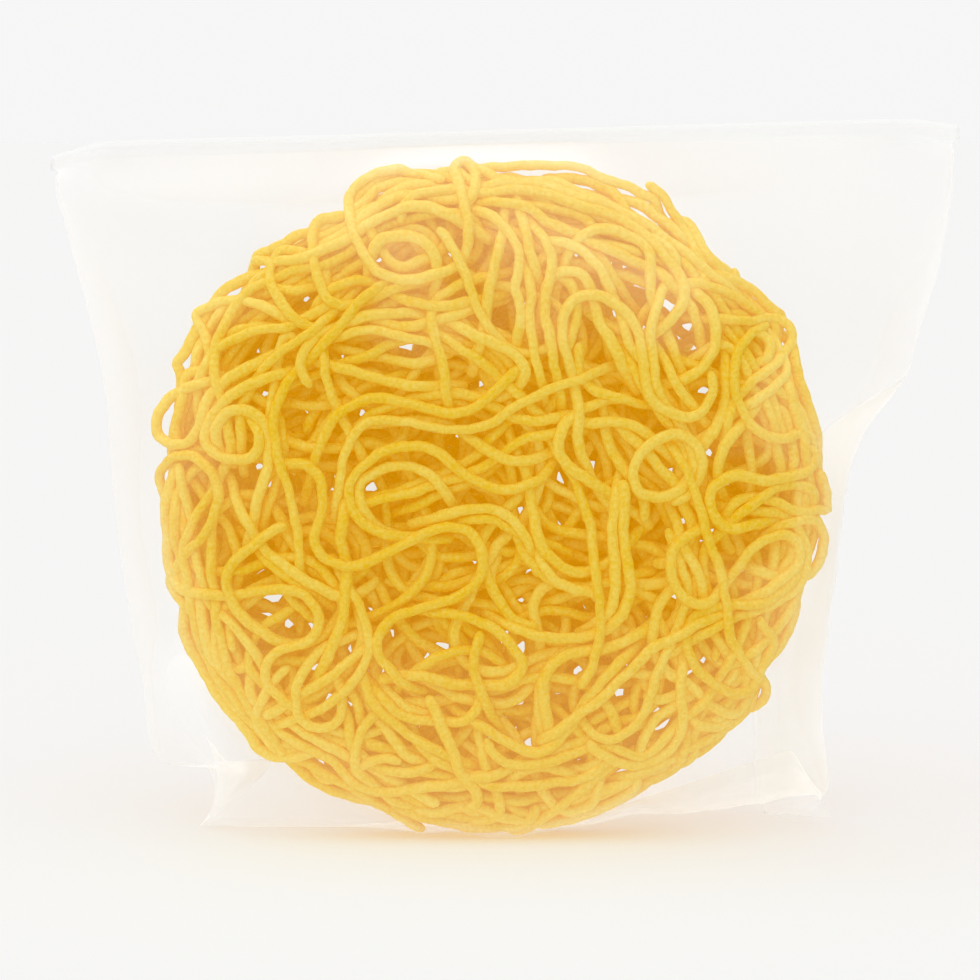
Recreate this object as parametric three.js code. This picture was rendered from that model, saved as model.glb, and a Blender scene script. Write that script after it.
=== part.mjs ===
// A round cake of fried egg noodles, heat-sealed in a clear film bag.
// The bag is a flat tube of film, sealed straight across at the top and the bottom. The cake
// stands on its rim at the bottom of it, so the film wraps round the cake's sides, keeps its
// full flat width at the top seal and is pressed flat where the cake rests on it. The film is
// drawn tight over the noodles, so the two are one solid.
//
// Millimetres, +Z up. The origin is on the floor, under the middle of the bag's widest part.
// The cake's broad face looks along -Y, and X runs along the top seal.
import * as THREE from "three";
import { ParametricGeometry } from "three/addons/geometries/ParametricGeometry.js";

// The noodle cake, as the film is drawn over it.
const CAKE_RADIUS = 75.5;
const CAKE_DEPTH = 42;
const CAKE_X = -3.3; // the cake sits a little to the left in its bag
const CAKE_Z = 75.5;
const RIM_ROUND = 15; // how far in from the rim the flat face starts

// The sides of the bag. They hang straight beside the cake and flare out to the top seal.
const FOOT_HALF_WIDTH = 71.5;
const TOP_HALF_WIDTH = 101;
const FLARE_START_Z = 46;
const FLARE_END_Z = 128;
const UPPER_WIDENING = 5; // what the sides still gain between the flare and the seal

// The top seal: a stiff flat strip that climbs to the right and ends in two folded ears.
const SEAL_Z = 157; // its top edge at the middle of the bag
const SEAL_SLOPE = 0.028;
const SEAL_HEIGHT = 3.5;
const SEAL_THICKNESS = 1.2;
const EAR_START_X = 88;
const EAR_DROOP = 3.5;
const EAR_LEAN = 8; // the ears lean away from the cake's front face

// The foot, where the cake's weight presses the film flat.
const FOOT_HALF_DEPTH = 14;
const FOOT_RISE = 24; // the height over which the foot's edge fades out

// Slack film outside the rim: how far the outline has to be from the rim for the film to run
// straight to it, and the shallow creases that fan out from the cake's shoulders.
const WRAPPED_WITHIN = 8;
const STRAIGHT_BEYOND = 40;
const CREASE_DEPTH = 1.3;
const CREASES_ROUND_RIM = 15;

// The mesh: columns run right round the bag, rows climb it.
const COLUMNS = 96;
const ROWS = 46;

const { smoothstep, lerp, clamp } = THREE.MathUtils;

// Half the bag's width at a height.
function halfWidth(z) {
  const flared = TOP_HALF_WIDTH - UPPER_WIDENING - FOOT_HALF_WIDTH;
  const upper = clamp((z - FLARE_END_Z + 26) / (SEAL_Z - FLARE_END_Z + 26), 0, 1);
  return (
    FOOT_HALF_WIDTH +
    flared * smoothstep(z, FLARE_START_Z, FLARE_END_Z) +
    UPPER_WIDENING * upper
  );
}

// The height of the seal's top edge at a distance along it.
function sealTop(x) {
  const ear = smoothstep(Math.abs(x), EAR_START_X, TOP_HALF_WIDTH);
  return SEAL_Z + SEAL_SLOPE * x - EAR_DROOP * ear;
}

// How far the film's middle plane leans back from y = 0.
function lean(x, z) {
  const outward = clamp((Math.abs(x) - EAR_START_X + 6) / (TOP_HALF_WIDTH - EAR_START_X + 6), 0, 1);
  return EAR_LEAN * outward * smoothstep(z, CAKE_Z, SEAL_Z);
}

// Half the bag's depth at a point of its front view: the cake's own half depth over its face,
// and from the face's edge outwards a line that falls to the bag's outline.
function halfDepth(x, z) {
  const fromCake = Math.hypot(x - CAKE_X, z - CAKE_Z);
  const faceEdge = CAKE_RADIUS - RIM_ROUND;
  if (fromCake <= faceEdge) return CAKE_DEPTH / 2;

  // How far out the point is, as a share of the way from the cake's middle to the outline.
  const sideShare = (x - CAKE_X) / (Math.sign(x - CAKE_X) * halfWidth(z) - CAKE_X);
  const topShare = (z - CAKE_Z) / (sealTop(x) - SEAL_HEIGHT - CAKE_Z);
  const footShare = (CAKE_Z - z) / CAKE_Z;
  const share = Math.max(sideShare, topShare, footShare, 1e-6);
  const slackLength = fromCake / share - faceEdge;
  const past = clamp((fromCake - faceEdge) / slackLength, 0, 1);

  const alongFoot = Math.sqrt(clamp(1 - (x / FOOT_HALF_WIDTH) ** 2, 0, 1));
  const onFoot = 1 - smoothstep(z, 0, FOOT_RISE);
  const edge = SEAL_THICKNESS / 2 + FOOT_HALF_DEPTH * alongFoot * onFoot;

  const slack = smoothstep(slackLength - RIM_ROUND, WRAPPED_WITHIN, STRAIGHT_BEYOND);
  const wrapped = Math.sqrt(1 - past ** 2);
  const straight = (1 - past) * (1 + 0.45 * past);
  const angle = Math.atan2(z - CAKE_Z, x - CAKE_X);
  const crease = Math.cos(CREASES_ROUND_RIM * angle) * Math.sin(Math.PI * past) ** 2;
  return (
    edge + (CAKE_DEPTH / 2 - edge) * lerp(wrapped, straight, slack) + CREASE_DEPTH * slack * crease
  );
}

// The closed surface of the bag. u runs round it, from the right edge over the rear to the left
// edge and back over the front, and v climbs it. The first and last rows close the flat foot and
// the top edge of the seal along the bag's middle, and the two rows before the last are the seal.
function bagSurface(u, v, target) {
  const row = Math.round(v * ROWS);
  const across = Math.cos(u * 2 * Math.PI);
  const climb = clamp((row - 1) / (ROWS - 3), 0, 1);
  const share = lerp(climb, (1 - Math.cos(Math.PI * climb)) / 2, 0.7);
  const top = sealTop(across * halfWidth(share * SEAL_Z));
  const z = row >= ROWS - 1 ? top : share * (top - SEAL_HEIGHT);
  const x = across * halfWidth(z);
  const side = Math.sin(u * 2 * Math.PI);
  const closes = row === 0 || row === ROWS || Math.abs(side) < 1e-6;
  const depth = closes ? 0 : row >= ROWS - 2 ? SEAL_THICKNESS / 2 : halfDepth(x, z);
  target.set(x, lean(x, z) + Math.sign(side) * depth, z);
}

function sealedBag() {
  const geometry = new ParametricGeometry(bagSurface, COLUMNS, ROWS);
  const film = new THREE.MeshStandardMaterial({ color: 0xf0cf52, roughness: 0.35, metalness: 0 });
  const mesh = new THREE.Mesh(geometry, film);
  mesh.name = "sealed_noodle_bag";
  return mesh;
}

const pack = new THREE.Group();
pack.add(sealedBag());

export default pack;
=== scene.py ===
import math

import bmesh
import bpy
import numpy as np
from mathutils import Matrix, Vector


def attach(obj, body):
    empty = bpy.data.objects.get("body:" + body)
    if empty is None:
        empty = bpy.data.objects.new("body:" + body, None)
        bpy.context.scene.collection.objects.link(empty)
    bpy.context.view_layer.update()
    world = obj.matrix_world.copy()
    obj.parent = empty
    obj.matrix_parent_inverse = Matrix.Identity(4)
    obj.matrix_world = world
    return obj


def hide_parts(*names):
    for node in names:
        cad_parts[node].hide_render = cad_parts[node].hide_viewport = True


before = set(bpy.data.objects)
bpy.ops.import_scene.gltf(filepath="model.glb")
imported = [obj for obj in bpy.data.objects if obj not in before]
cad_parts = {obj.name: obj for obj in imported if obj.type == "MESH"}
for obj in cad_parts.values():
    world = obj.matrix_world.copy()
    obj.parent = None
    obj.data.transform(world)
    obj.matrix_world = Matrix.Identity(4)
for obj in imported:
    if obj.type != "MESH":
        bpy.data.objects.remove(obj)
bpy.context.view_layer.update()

# ------------------------------------------------------------------------------
# The view: a camera with a long lens, a little above the table and square on to the pack's
# broad front face.
# ------------------------------------------------------------------------------
cake_middle = Vector((-0.0033, 0.0, 0.0755))
look_at = Vector((cake_middle.x, 0.0, 0.0775))
lens_distance = 1.1
view_width = 0.2178
view_elevation = math.radians(5.5)


def put_in_scene(name, data):
    """A new object of the scene, unturned and at the origin."""
    thing = bpy.data.objects.new(name, data)
    bpy.context.scene.collection.objects.link(thing)
    return thing


camera_data = bpy.data.cameras.new("long_lens")
camera_data.sensor_width = 36.0
camera_data.lens = camera_data.sensor_width * lens_distance / view_width
camera = put_in_scene("long_lens", camera_data)
toward_lens = Vector((0.0, -math.cos(view_elevation), math.sin(view_elevation)))
camera.location = look_at + lens_distance * toward_lens
camera.rotation_euler = toward_lens.to_track_quat("Z", "Y").to_euler()
bpy.context.scene.camera = camera

# ------------------------------------------------------------------------------
# The table that the pack stands on: a round sheet of white plastic, lit a little from below.
# ------------------------------------------------------------------------------
table_radius = 6.0
table_colour = (0.282, 0.604, 0.725)
table_glow = (0.651, 0.331, 0.211)
table_roughness = 0.7


def new_material(name):
    """A new material and its shader. Its own glow isn't aimed at as if it were a lamp."""
    material = bpy.data.materials.new(name)
    material.use_nodes = True
    material.cycles.emission_sampling = "NONE"
    return material, material.node_tree


def set_inputs(shader, node, inputs):
    """Gives a shader node's inputs a value each, or the output that feeds them."""
    for name, value in inputs.items():
        if isinstance(value, bpy.types.NodeSocket):
            shader.links.new(value, node.inputs[name])
        else:
            node.inputs[name].default_value = value


table_bm = bmesh.new()
bmesh.ops.create_circle(table_bm, cap_ends=True, segments=96, radius=table_radius)
table_mesh = bpy.data.meshes.new("table")
table_bm.to_mesh(table_mesh)
table_bm.free()
table = put_in_scene("table", table_mesh)
white_plastic, plastic = new_material("white_table")
set_inputs(plastic, plastic.nodes["Principled BSDF"], {
    "Base Color": (*table_colour, 1.0),
    "Roughness": table_roughness,
    "Specular IOR Level": 0.0,
    "Emission Color": (*table_glow, 1.0),
    "Emission Strength": 1.0,
})
table_mesh.materials.append(white_plastic)
table.visible_glossy = False  # the film mirrors the tent in its place

# ------------------------------------------------------------------------------
# The tent round the table: white cloth that glows evenly, and brightest above the lens. The film
# mirrors its roof, a square lamp above the lens, and the dark gap in the cloth round the lamp.
# ------------------------------------------------------------------------------
tent_white = (1.0, 1.0, 0.997, 1.0)
tent_brightness = 0.30  # as a light on things
backdrop_brightness = 0.925  # as seen behind them
brightest_way = Vector((-0.2, -0.35, 0.92)).normalized()
brightest_gain = 1.15
mirrored_walls = 1.05
mirrored_roof = 1.75
mirrored_lamp = 1.0
mirrored_gap = 0.0
gap_left_below = 0.5  # how much of the gap is left below the table's height
# Where each part of the tent starts and is full, as the x, y or z of the way toward it.
brightest_cloth = (0.2, 0.95)
roof_cloth = (0.2, 0.6)
gap_sides = (0.80, 0.93)
gap_head = (0.34, 0.12)
gap_foot = (-0.34, -0.16)
lamp_width = (0.0, 0.22)
lamp_height = (0.07, 0.35)


def add_node(shader, kind, inputs, **settings):
    """Adds a node to a shader, with its settings and its inputs."""
    node = shader.nodes.new("ShaderNode" + kind)
    for name, value in settings.items():
        setattr(node, name, value)
    set_inputs(shader, node, inputs)
    return node


def add_math(shader, kind, *values):
    """Adds a sum on one to three values or outputs, and returns its result."""
    return add_node(shader, "Math", dict(enumerate(values)), operation=kind).outputs["Value"]


def add_range(shader, value, start, end, low=0.0, high=1.0, ease="SMOOTHSTEP"):
    """Adds a step that goes from low to high as the value goes from start to end."""
    inputs = {"Value": value, "From Min": start, "From Max": end, "To Min": low, "To Max": high}
    return add_node(shader, "MapRange", inputs, interpolation_type=ease).outputs["Result"]


tent = bpy.data.worlds.new("light_tent")
tent.use_nodes = True
tent.cycles.sampling_method = "NONE"
cloth = tent.node_tree
toward = add_node(cloth, "TexCoord", {}).outputs["Generated"]
axes = add_node(cloth, "SeparateXYZ", {"Vector": toward}).outputs
nearness = add_node(cloth, "VectorMath", {0: toward, 1: brightest_way}, operation="DOT_PRODUCT")
brightest = tent_brightness + brightest_gain
glow = add_range(cloth, nearness.outputs["Value"], *brightest_cloth, tent_brightness, brightest)

roof = add_range(cloth, axes["Z"], *roof_cloth, mirrored_walls, mirrored_roof)
gap = add_range(cloth, add_math(cloth, "ABSOLUTE", axes["Y"]), *gap_sides)
gap = add_math(cloth, "MULTIPLY", gap, add_range(cloth, axes["Z"], *gap_head))
gap = add_math(cloth, "MULTIPLY", gap, add_range(cloth, axes["Z"], *gap_foot, gap_left_below, 1.0))
walls = add_math(cloth, "MULTIPLY", roof, add_math(cloth, "MULTIPLY_ADD", gap, mirrored_gap - 1.0, 1.0))
lamp = add_math(cloth, "LESS_THAN", axes["Y"], 0.0)
for axis, (start, end) in (("X", lamp_width), ("Z", lamp_height)):
    lamp = add_math(cloth, "MULTIPLY", lamp, add_math(cloth, "GREATER_THAN", axes[axis], start))
    lamp = add_math(cloth, "MULTIPLY", lamp, add_math(cloth, "LESS_THAN", axes[axis], end))
mirrored = add_math(cloth, "MULTIPLY_ADD", lamp, mirrored_lamp, walls)

lights, mirrors, stands_behind = (
    add_node(cloth, "Background", {"Color": tent_white, "Strength": strength}).outputs["Background"]
    for strength in (glow, mirrored, backdrop_brightness)
)
seen = add_node(cloth, "LightPath", {}).outputs
tent_look = add_node(cloth, "MixShader", {"Fac": seen["Is Glossy Ray"], 1: lights, 2: mirrors})
tent_look = add_node(
    cloth, "MixShader", {"Fac": seen["Is Camera Ray"], 1: tent_look.outputs["Shader"], 2: stands_behind}
)
cloth.links.new(tent_look.outputs["Shader"], cloth.nodes["World Output"].inputs["Surface"])
bpy.context.scene.world = tent
bpy.context.scene.view_settings.view_transform = "Standard"

# Light passes from strand to strand many times before it comes out of the cake again.
light_paths = bpy.context.scene.cycles
light_paths.max_bounces = 16
light_paths.diffuse_bounces = 7
light_paths.transmission_bounces = 40
light_paths.transparent_max_bounces = 40

# ------------------------------------------------------------------------------
# The noodles: strands of egg dough, cut blunt, steamed and fried in a round basket, so they are
# one tangled cake. The strands on top at the front are given one by one, and the rest wander
# through the cake. All are then pressed apart, and get a skin that is never quite round or even.
# ------------------------------------------------------------------------------
MM = 0.001
cake_radius = 73.8
cake_depth = 39.0
cake_crown = 0.38  # the share of its depth that the cake loses from its middle to its rim
strand_radius = 1.12
path_step = 1.5
inner_length = 28500.0  # all the strands that aren't laid by hand, end to end
tail_points = 8  # how many steps an end that dives goes on for
tail_depth = 6.5
one_behind = 0.11  # how far behind the strand before it each strand starts
shortest_neighbour = 12  # in steps
rng = np.random.default_rng(11)

# The strands on top, front one first. Each is a few places along it, across and up in turn, in
# millimetres from the cake's middle.
front_strands = [
    [-45, 7, -41, 7, -37.5, 3, -37.3, -3, -39, -9, -37, -13.5, -32, -15.6, -26, -14, -20, -10.8,
     -13, -7.5, -8, -6.5, -3.5, -9, -1.5, -14, -3, -19, -8, -22.5, -15, -24.7, -21, -26.5, -24.7, -30,
     -25.3, -35, -22, -39],
    [7, 2.2, 3, 1.6, -2, 3, -7, 6, -11, 9.5, -16, 11.5, -22, 10.7, -27, 8, -30.5, 4, -31, -1, -28.5, -5.5,
     -24, -8, -19, -9],
    [18.5, 25.8, 12, 23.5, 6, 20.5, 1, 17, -5, 15, -12, 15.5, -20, 17, -26, 17, -30, 14, -32, 9, -33, 3],
    [-24, 46, -28, 43.3, -33, 38, -38, 32.5, -43, 28, -46.7, 23, -48.3, 17, -47.5, 10, -45.3, 3,
     -43.3, -5, -42.6, -11],
    [-14, -44.5, -11.5, -49.5, -9, -55.5, -6.7, -61, -3.3, -65.5, -3.4, -69, -7, -71],
    [29, 3.5, 29.5, -3, 29.4, -9, 30.6, -15, 31, -21, 29, -27, 24, -30.5, 18, -31.7, 12, -31, 8, -30],
    [43.7, 4.3, 45.5, 0, 47, -6, 49, -12, 51, -18, 51.7, -24, 52.5, -31, 55.5, -37, 59, -40.5],
    [45, -8, 41.5, -11, 40.3, -16, 42, -21, 46, -24, 50, -23, 53, -19.5, 56.5, -14.5, 60.5, -10.3,
     65, -8.5, 69.3, -10.6, 69.3, -15.4, 65, -19, 59, -22.5, 52, -26, 46.5, -28.5, 41, -31.5, 35.5, -34.5,
     30, -40, 24, -45.5, 18, -50],
    [75, -4, 68, -4.3, 64, -2.6, 59, -0.8, 54.5, -1.7, 52.3, -4.2],
    [59.5, -6.3, 54, -7, 50.4, -4.8, 49, -0.8, 50.8, 3, 55.5, 4.7, 62, 3.6, 69, 5],
    [67.5, -4.6, 72, -4.2, 74.8, -6.3, 75.3, -11.5, 73.7, -16.5, 69.5, -18.7, 64, -18],
    [-64, 25.4, -68, 24.3, -72.4, 21.6, -74.8, 17, -74, 13, -70.5, 11.4, -66, 12.6, -63.6, 17, -62, 22,
     -57, 26.6, -51, 29.6],
    [-46, 27.3, -52, 25.5, -58, 21.8, -62, 17.3, -63.3, 13.3, -61, 9.8, -56.5, 8.3, -52.5, 9.4,
     -51.2, 12.5, -52.7, 16.4],
    [-61, 15, -60, 17.6, -56.5, 19.5, -52, 18.4, -49.8, 14, -49.5, 8, -51.2, 2, -52.3, -3],
    [-74.5, 5, -71.5, 8, -67, 9.3, -62.7, 6.8, -60.3, 2, -60.8, -3.5, -63.6, -8.6, -67.5, -12.8,
     -70.5, -17],
    [-72.3, 2, -73, -4, -72.5, -11, -71.7, -17.5, -68.8, -21.2, -62, -22.3, -55, -22.2, -48.5, -20.8,
     -42.5, -21.5, -38.8, -24.8, -38, -29, -41, -32.3, -46, -33.8, -49.7, -37, -49.7, -41, -47, -44.3],
    [-33, -3.5, -33.4, -10, -32.1, -16.5, -32.4, -23, -33.4, -29, -35.5, -34, -37.5, -38.5],
    [-54.5, -5, -52, -9.5, -48, -14, -42, -18, -36, -21.6, -33, -22.4],
    [-34, -32.5, -38.5, -35, -42, -40, -43.3, -45.5, -41.5, -50, -37, -51.6, -33.3, -49, -33, -44.5],
    [-39.5, -48.5, -35, -46, -30.5, -41.5, -27.5, -37, -26.8, -31.5, -28.4, -26, -31, -21],
    [-30.5, -35.5, -34, -38.3, -38.3, -41.5, -42.5, -44.2],
    [-3.5, 71.8, -4.5, 73.6, -6.7, 73.4, -7.7, 71, -6.5, 67.5, -5.7, 64, -4.8, 58.5, -5.4, 53.4, -8.6, 50,
     -14, 48.2, -20, 47.2, -25, 49.5, -28.3, 54.5, -30.6, 61, -30.3, 66.4, -27, 69.8, -20, 71.6],
    [-53, 53.6, -47, 52.8, -41, 53.6, -36, 55.3, -31, 57.8, -25, 61.5, -19, 64.2, -13, 64.4, -8, 62.4],
    [-27, 53, -25, 56.5, -21, 58, -16, 57.3, -12.6, 54, -12, 49.5],
    [-39, 56.8, -38.4, 52, -37.3, 47, -35, 43.7, -31, 42.7, -27, 44.2, -23, 46.6, -18, 48],
    [-36, 44.4, -33, 46.6, -29, 47.9, -25, 46.8, -20, 44.2, -14, 42.4, -8, 42.5, -3, 43.5],
    [-46.5, 53.7, -48.3, 50, -47, 44.6, -44.2, 40.4, -40.5, 37.4, -38.4, 36.6],
    [-65, 27, -62.5, 32, -57.5, 35.5, -51, 37.5, -45, 38.3, -40, 40.7, -36, 43.6],
    [-43.8, 33.2, -43.7, 36, -45.6, 36.4, -47, 31, -47.8, 26, -48.4, 21],
    [-66, 40, -62, 43, -57, 43.8, -52, 43.2, -48, 41.4, -45, 39],
    [-36.6, 31, -36, 26.5, -34.8, 22, -33, 18, -31.3, 14.5],
    [-36, 29.5, -31, 28, -26, 26.6, -20, 24.6, -14, 24],
    [-3, 48, -7.5, 46.5, -11.6, 43.6, -13, 39.3, -11.6, 34.3, -10.4, 29, -9.6, 23],
    [-13.5, 38.2, -8.5, 35.2, -3.2, 31.6, 2, 27.3, 7, 22.7],
    [-9, 38.7, -3.4, 36.2, 2, 33.8, 6.3, 31.3, 7.6, 28.2, 6.5, 25.5],
    [-28, 40.6, -23, 38.6, -17, 38.2, -10.5, 40.2, -3.5, 42.3],
    [-33, 36, -28, 37.3, -22, 36.7, -15, 35],
    [2.6, 56.8, 1.6, 52.6, 0, 47, -0.6, 41.5, -1.6, 36.5],
    [2, 61, 5.2, 57.5, 6.4, 52, 5.6, 46.5, 6.8, 40.5, 5.9, 35],
    [7, 62, 8, 57.3, 9.2, 52],
    [8.7, 50.2, 9.5, 44.5, 8.9, 39, 9.8, 33, 11.2, 26.5],
    [10.5, 59, 13.2, 54.8, 13.7, 50.5, 12.3, 45.5, 12.2, 40, 13.3, 34, 14.6, 26],
    [11.8, 43, 13.5, 48.2, 17.5, 50.2, 21.3, 49, 23, 44.5, 24.3, 40, 27, 35.5, 29.5, 31],
    [16, 48.3, 18.6, 46.3, 19.4, 41.5, 18.4, 36],
    [15, 57, 20, 55.4, 24, 51.4, 26.6, 46.4, 28.8, 41.5, 30.2, 36.5, 32.5, 32, 36, 27],
    [2.5, 66, 8, 64.3, 13, 61, 19, 58.3, 26, 55.3, 33, 52.3, 39, 48.8, 43, 44.5, 45, 41],
    [19.3, 34.2, 19.3, 29.4, 20.8, 25.4, 24.3, 23, 30, 21.3],
    [24, 21, 19.6, 19.2, 16.3, 15.6, 15.2, 11, 17, 7.2, 21, 4.6, 25, 2, 28.3, -0.5],
    [6, 10, 8, 5, 9.2, -1, 10, -6.5, 12, -11.5, 15.6, -15.3, 20.5, -17, 25, -15.6, 29, -12.5],
    [-27, -1.3, -20, 0.2, -13, 2.3, -7, 4.3, -1, 6.6, 3.5, 10.3, 8, 13, 13, 14.2],
    [-28, 17.5, -24, 20, -17, 22.2, -9.5, 23.4, -3.5, 22.3, 2, 19.4, 5.5, 17.4, 10, 16.7, 15.5, 17],
    [-8.5, -3.8, -3, -2.5, 2, -3.3, 5.8, -6.3, 8, -9.3],
    [-4.5, -5.4, 0, -5, 4, -7.4, 8.8, -9.7],
    [10.3, -13.5, 13, -18, 18.5, -20.6, 23.5, -22.4, 26.2, -26.5],
    [21, 17, 28, 17, 33.5, 15.4, 38, 11.2],
    [30, 14.5, 34, 10.6, 38, 6.5, 41.6, 2.4, 43.6, -2, 45.4, -7, 44, -11],
    [30.5, 30, 33, 25, 37, 19.2, 41, 13.8, 43.2, 8.6],
    [40, 28, 43.4, 22.2, 47.6, 17],
    [57.3, 18.6, 54, 14.6, 51, 10, 50.5, 5.5],
    [36, 43, 39.7, 46.4, 46, 47.2, 52, 45.6, 57.5, 43, 62.5, 40.3, 66, 37.5],
    [46, 45.8, 49.2, 41.8, 50.2, 36.5, 49, 31.5, 46.2, 28, 43, 26],
    [53, 38.5, 58.5, 38.4, 64, 39, 67.6, 36.3, 66.4, 32.4, 62, 28.6, 57, 25, 53.4, 21, 52, 15.5],
    [53.6, 28, 53.4, 22, 51.6, 16.4, 48.3, 12],
    [-2, -30, -3.6, -36, -2.6, -42, -0.3, -47.3],
    [-9.5, -26.3, -4, -27.3, 1, -30, 5, -33.6, 7, -37.6, 4.8, -41.5, -1, -42.6, -8, -42.2, -15, -40.6,
     -21, -40.7, -25, -42],
    [-16, -38.5, -12, -36, -7, -34.4, -3, -34.6],
    [-24, -44.7, -20, -48.4, -14, -50, -8, -50.4, -4, -49, -2.4, -46.6],
    [-2.6, -53.5, -1.8, -58.5, 0.2, -64.5, 2, -70.3, 1.4, -74.3, -3.6, -75.8, -10.6, -76],
    [-29.3, -40, -27, -45.6, -22.5, -50.2, -17, -54.4, -10.5, -58],
    [-3, -51.3, 3, -54.6, 8, -57.2, 12.7, -56.6, 17, -52.5, 20.7, -47.3, 24.6, -41.6, 29, -37],
    [14, -54.3, 12.3, -48, 12, -42, 14.6, -37.3, 20, -35, 26.5, -34.4, 32, -32],
    [3.6, -75.8, 6.5, -76, 10.6, -74, 17, -69.3, 22.5, -64.3, 27.5, -60.2, 33, -57.8, 38, -56.4],
    [39, -32, 41.5, -38, 43, -44, 44.7, -50, 49.5, -52.4],
    [-46, -26.2, -50, -29, -53.4, -34, -53.2, -39, -50, -43],
    [-54.4, -42, -54.6, -46, -51.5, -49, -47.3, -47.7, -45, -45],
    [-68.2, -23, -69, -29, -66.6, -35, -62.5, -41.5, -59.5, -46.6, -54.5, -52, -51, -57, -45, -58.8,
     -38, -57],
    [-52, -50, -45, -53, -38.5, -56.4, -32, -60, -25.5, -64, -18, -68.5, -11, -72],
    [3, -66.5, 6.6, -62.8, 12, -61.4, 18, -62.8, 22, -66],
    [69, -21, 67.6, -28, 65, -33.5, 61, -38.5, 59.2, -44, 56, -50, 50, -54.5, 44, -59],
    [66, 27, 69, 19.5, 71.4, 12, 72.6, 4, 71.5, -4],
    [-70, 29.5, -67, 34.5, -64.6, 39, -62, 43.3, -58.5, 46.8, -54, 49.2, -49, 49.8, -45, 50.5],
    [-66, 31, -64.5, 36, -62, 41, -58, 44.6, -53, 46.2, -48, 47, -44, 49, -40, 52],
    [-51.5, 53, -46, 55.4, -42, 57.6, -37, 58.9, -33, 60.8, -29, 64, -25.5, 68, -21, 70.3, -16, 71],
    [-30, 62, -29.6, 66.5, -26.6, 70.2, -22, 71.8, -16, 72.3, -10, 71.6, -5.5, 70.5],
    [-24, 67, -20, 69, -15, 70, -10.5, 68.6, -6, 65.5],
    [-7, 72.8, -5.3, 71.2, -3, 69.8, 0.5, 68.6, 5, 68.3, 9, 67, 12, 68, 15.5, 69.4, 20, 68.9],
    [-6.5, 73.6, -2.5, 73.2, 0.5, 71.4, 5, 70.2, 9.5, 69.4, 14, 66.8, 18, 66],
    [-1, 72.8, 4, 73.3, 10, 73.6, 16, 73.7, 21, 72.8, 26, 70.6, 31, 69.1, 35, 67.4, 38.5, 65.8],
    [12, 71.2, 17, 71.3, 22, 70.7, 26.5, 68.5, 29.5, 65.5, 31, 61.5, 34, 59],
    [34.5, 69, 37, 67.6, 39.2, 65, 41.3, 61.8, 44, 58, 46.2, 53.8, 48, 50.5],
    [40.8, 60.5, 43.5, 60.8, 45.2, 58, 46.8, 54.2, 49, 51.8, 52, 50],
    [25.5, 64, 27.5, 60, 31, 56.5, 37, 53.5, 43, 51, 49, 49.2],
    [30, 63, 32.8, 59.6, 38, 56.2, 44, 53, 49, 51],
    [27, 67, 32, 66.2, 37, 63.2, 41, 60, 44, 56.2],
    [17, 57.5, 22, 57.6, 26, 55.6, 31, 53.8, 36, 51.4, 42, 48.9, 48, 47.9, 54, 45.8],
    [50.5, 49.6, 54.5, 47.8, 58.5, 45, 62, 41.8, 64.6, 39.4],
    [54.6, 50.2, 55.8, 46.5, 58.6, 43.4, 62, 40.6],
    [66.5, 33.5, 67.6, 29.5, 68, 25.5, 70.2, 20.5, 71.8, 15, 73, 9.5, 73.2, 4],
    [63.8, 30.5, 66, 26, 68, 21, 69.8, 15.5, 70.5, 10],
    [60, 38, 62.4, 36.5, 63, 33.5, 61.5, 31, 58, 29.4],
    [55.4, 34.8, 54.2, 31, 55.6, 27.5, 58, 25],
    [55.5, 21.5, 59.5, 19.8, 63.5, 18.8, 67, 16],
    [68, -18, 67, -24, 65.8, -30, 64.6, -33.6, 62, -36.2],
    [61.5, -22.5, 63.4, -28, 62.9, -33.5, 60.5, -37.8, 57.5, -41.8, 56.5, -46, 54, -49.4],
    [33.5, -37, 35.2, -42.5, 38.5, -46.6, 43, -49.6, 48, -51.6, 52.5, -50.6, 55.6, -47.6, 57.6, -43.6],
    [33.5, -44, 33, -48.5, 35.5, -52.5, 40, -55.2, 45, -56, 49.5, -54.4, 53, -51.4],
    [24, -58.5, 28, -58.8, 33, -58, 37.5, -56.3],
    [50, -54.2, 46, -57.6, 41, -60.2, 35.5, -62, 30, -64],
    [12, -72.8, 18, -70.4, 24, -68, 30, -65.6, 35, -63.4, 41, -61.6],
    [37, -63.4, 31, -65.8, 26, -68, 20, -70.6, 13, -72.6, 7, -73.6],
    [18, -50.5, 21.5, -54, 23.2, -58.5, 22, -62.6],
    [32, -46.5, 27, -49, 22.5, -52, 19, -54.6],
    [-54.5, -49.5, -52.8, -54, -49.6, -57.2, -45, -58.3, -40, -57.8, -36, -58.8],
    [-44, -59.5, -38.5, -61.8, -33, -64.8, -28, -67.8, -23.7, -70.5, -19, -73.7, -14.8, -76],
    [-41, -60.5, -38, -62.5, -33.5, -64.4, -28.5, -66.4, -23, -68, -18, -69.2, -13, -71.3, -7, -73,
     -1, -73],
    [-33, -60, -28, -59.4, -22, -59.7, -17, -61.2, -12, -62.2, -7, -62.4],
    [-17, -66.4, -12, -65.2, -7, -64.8, -3.4, -63],
    [-28, -55, -23.5, -56.8, -18, -57.6, -12, -58.2, -8, -59.8],
    [-36.5, -53.3, -31, -54.4, -25, -53.2, -21, -51.8],
    [-32, -43, -30, -47.5, -29, -52],
    [-67.6, -22.5, -68, -28, -66.7, -33, -65, -37, -64.6, -40.2],
    [-65.5, -23, -65, -28.5, -63.5, -34, -60.8, -37.8, -57, -39.2, -54.6, -37.4],
    [-62.5, -39.5, -60.5, -44, -57.5, -47.8, -54.2, -51, -51.6, -54.8, -48, -57, -43, -57],
    [-57.5, -30, -57, -34.5, -55, -38.5],
    [-62, -30, -58.5, -27, -54, -24],
    [-68, -18.4, -64, -20, -60, -19.4, -56.4, -17.4, -53, -16],
]
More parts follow.
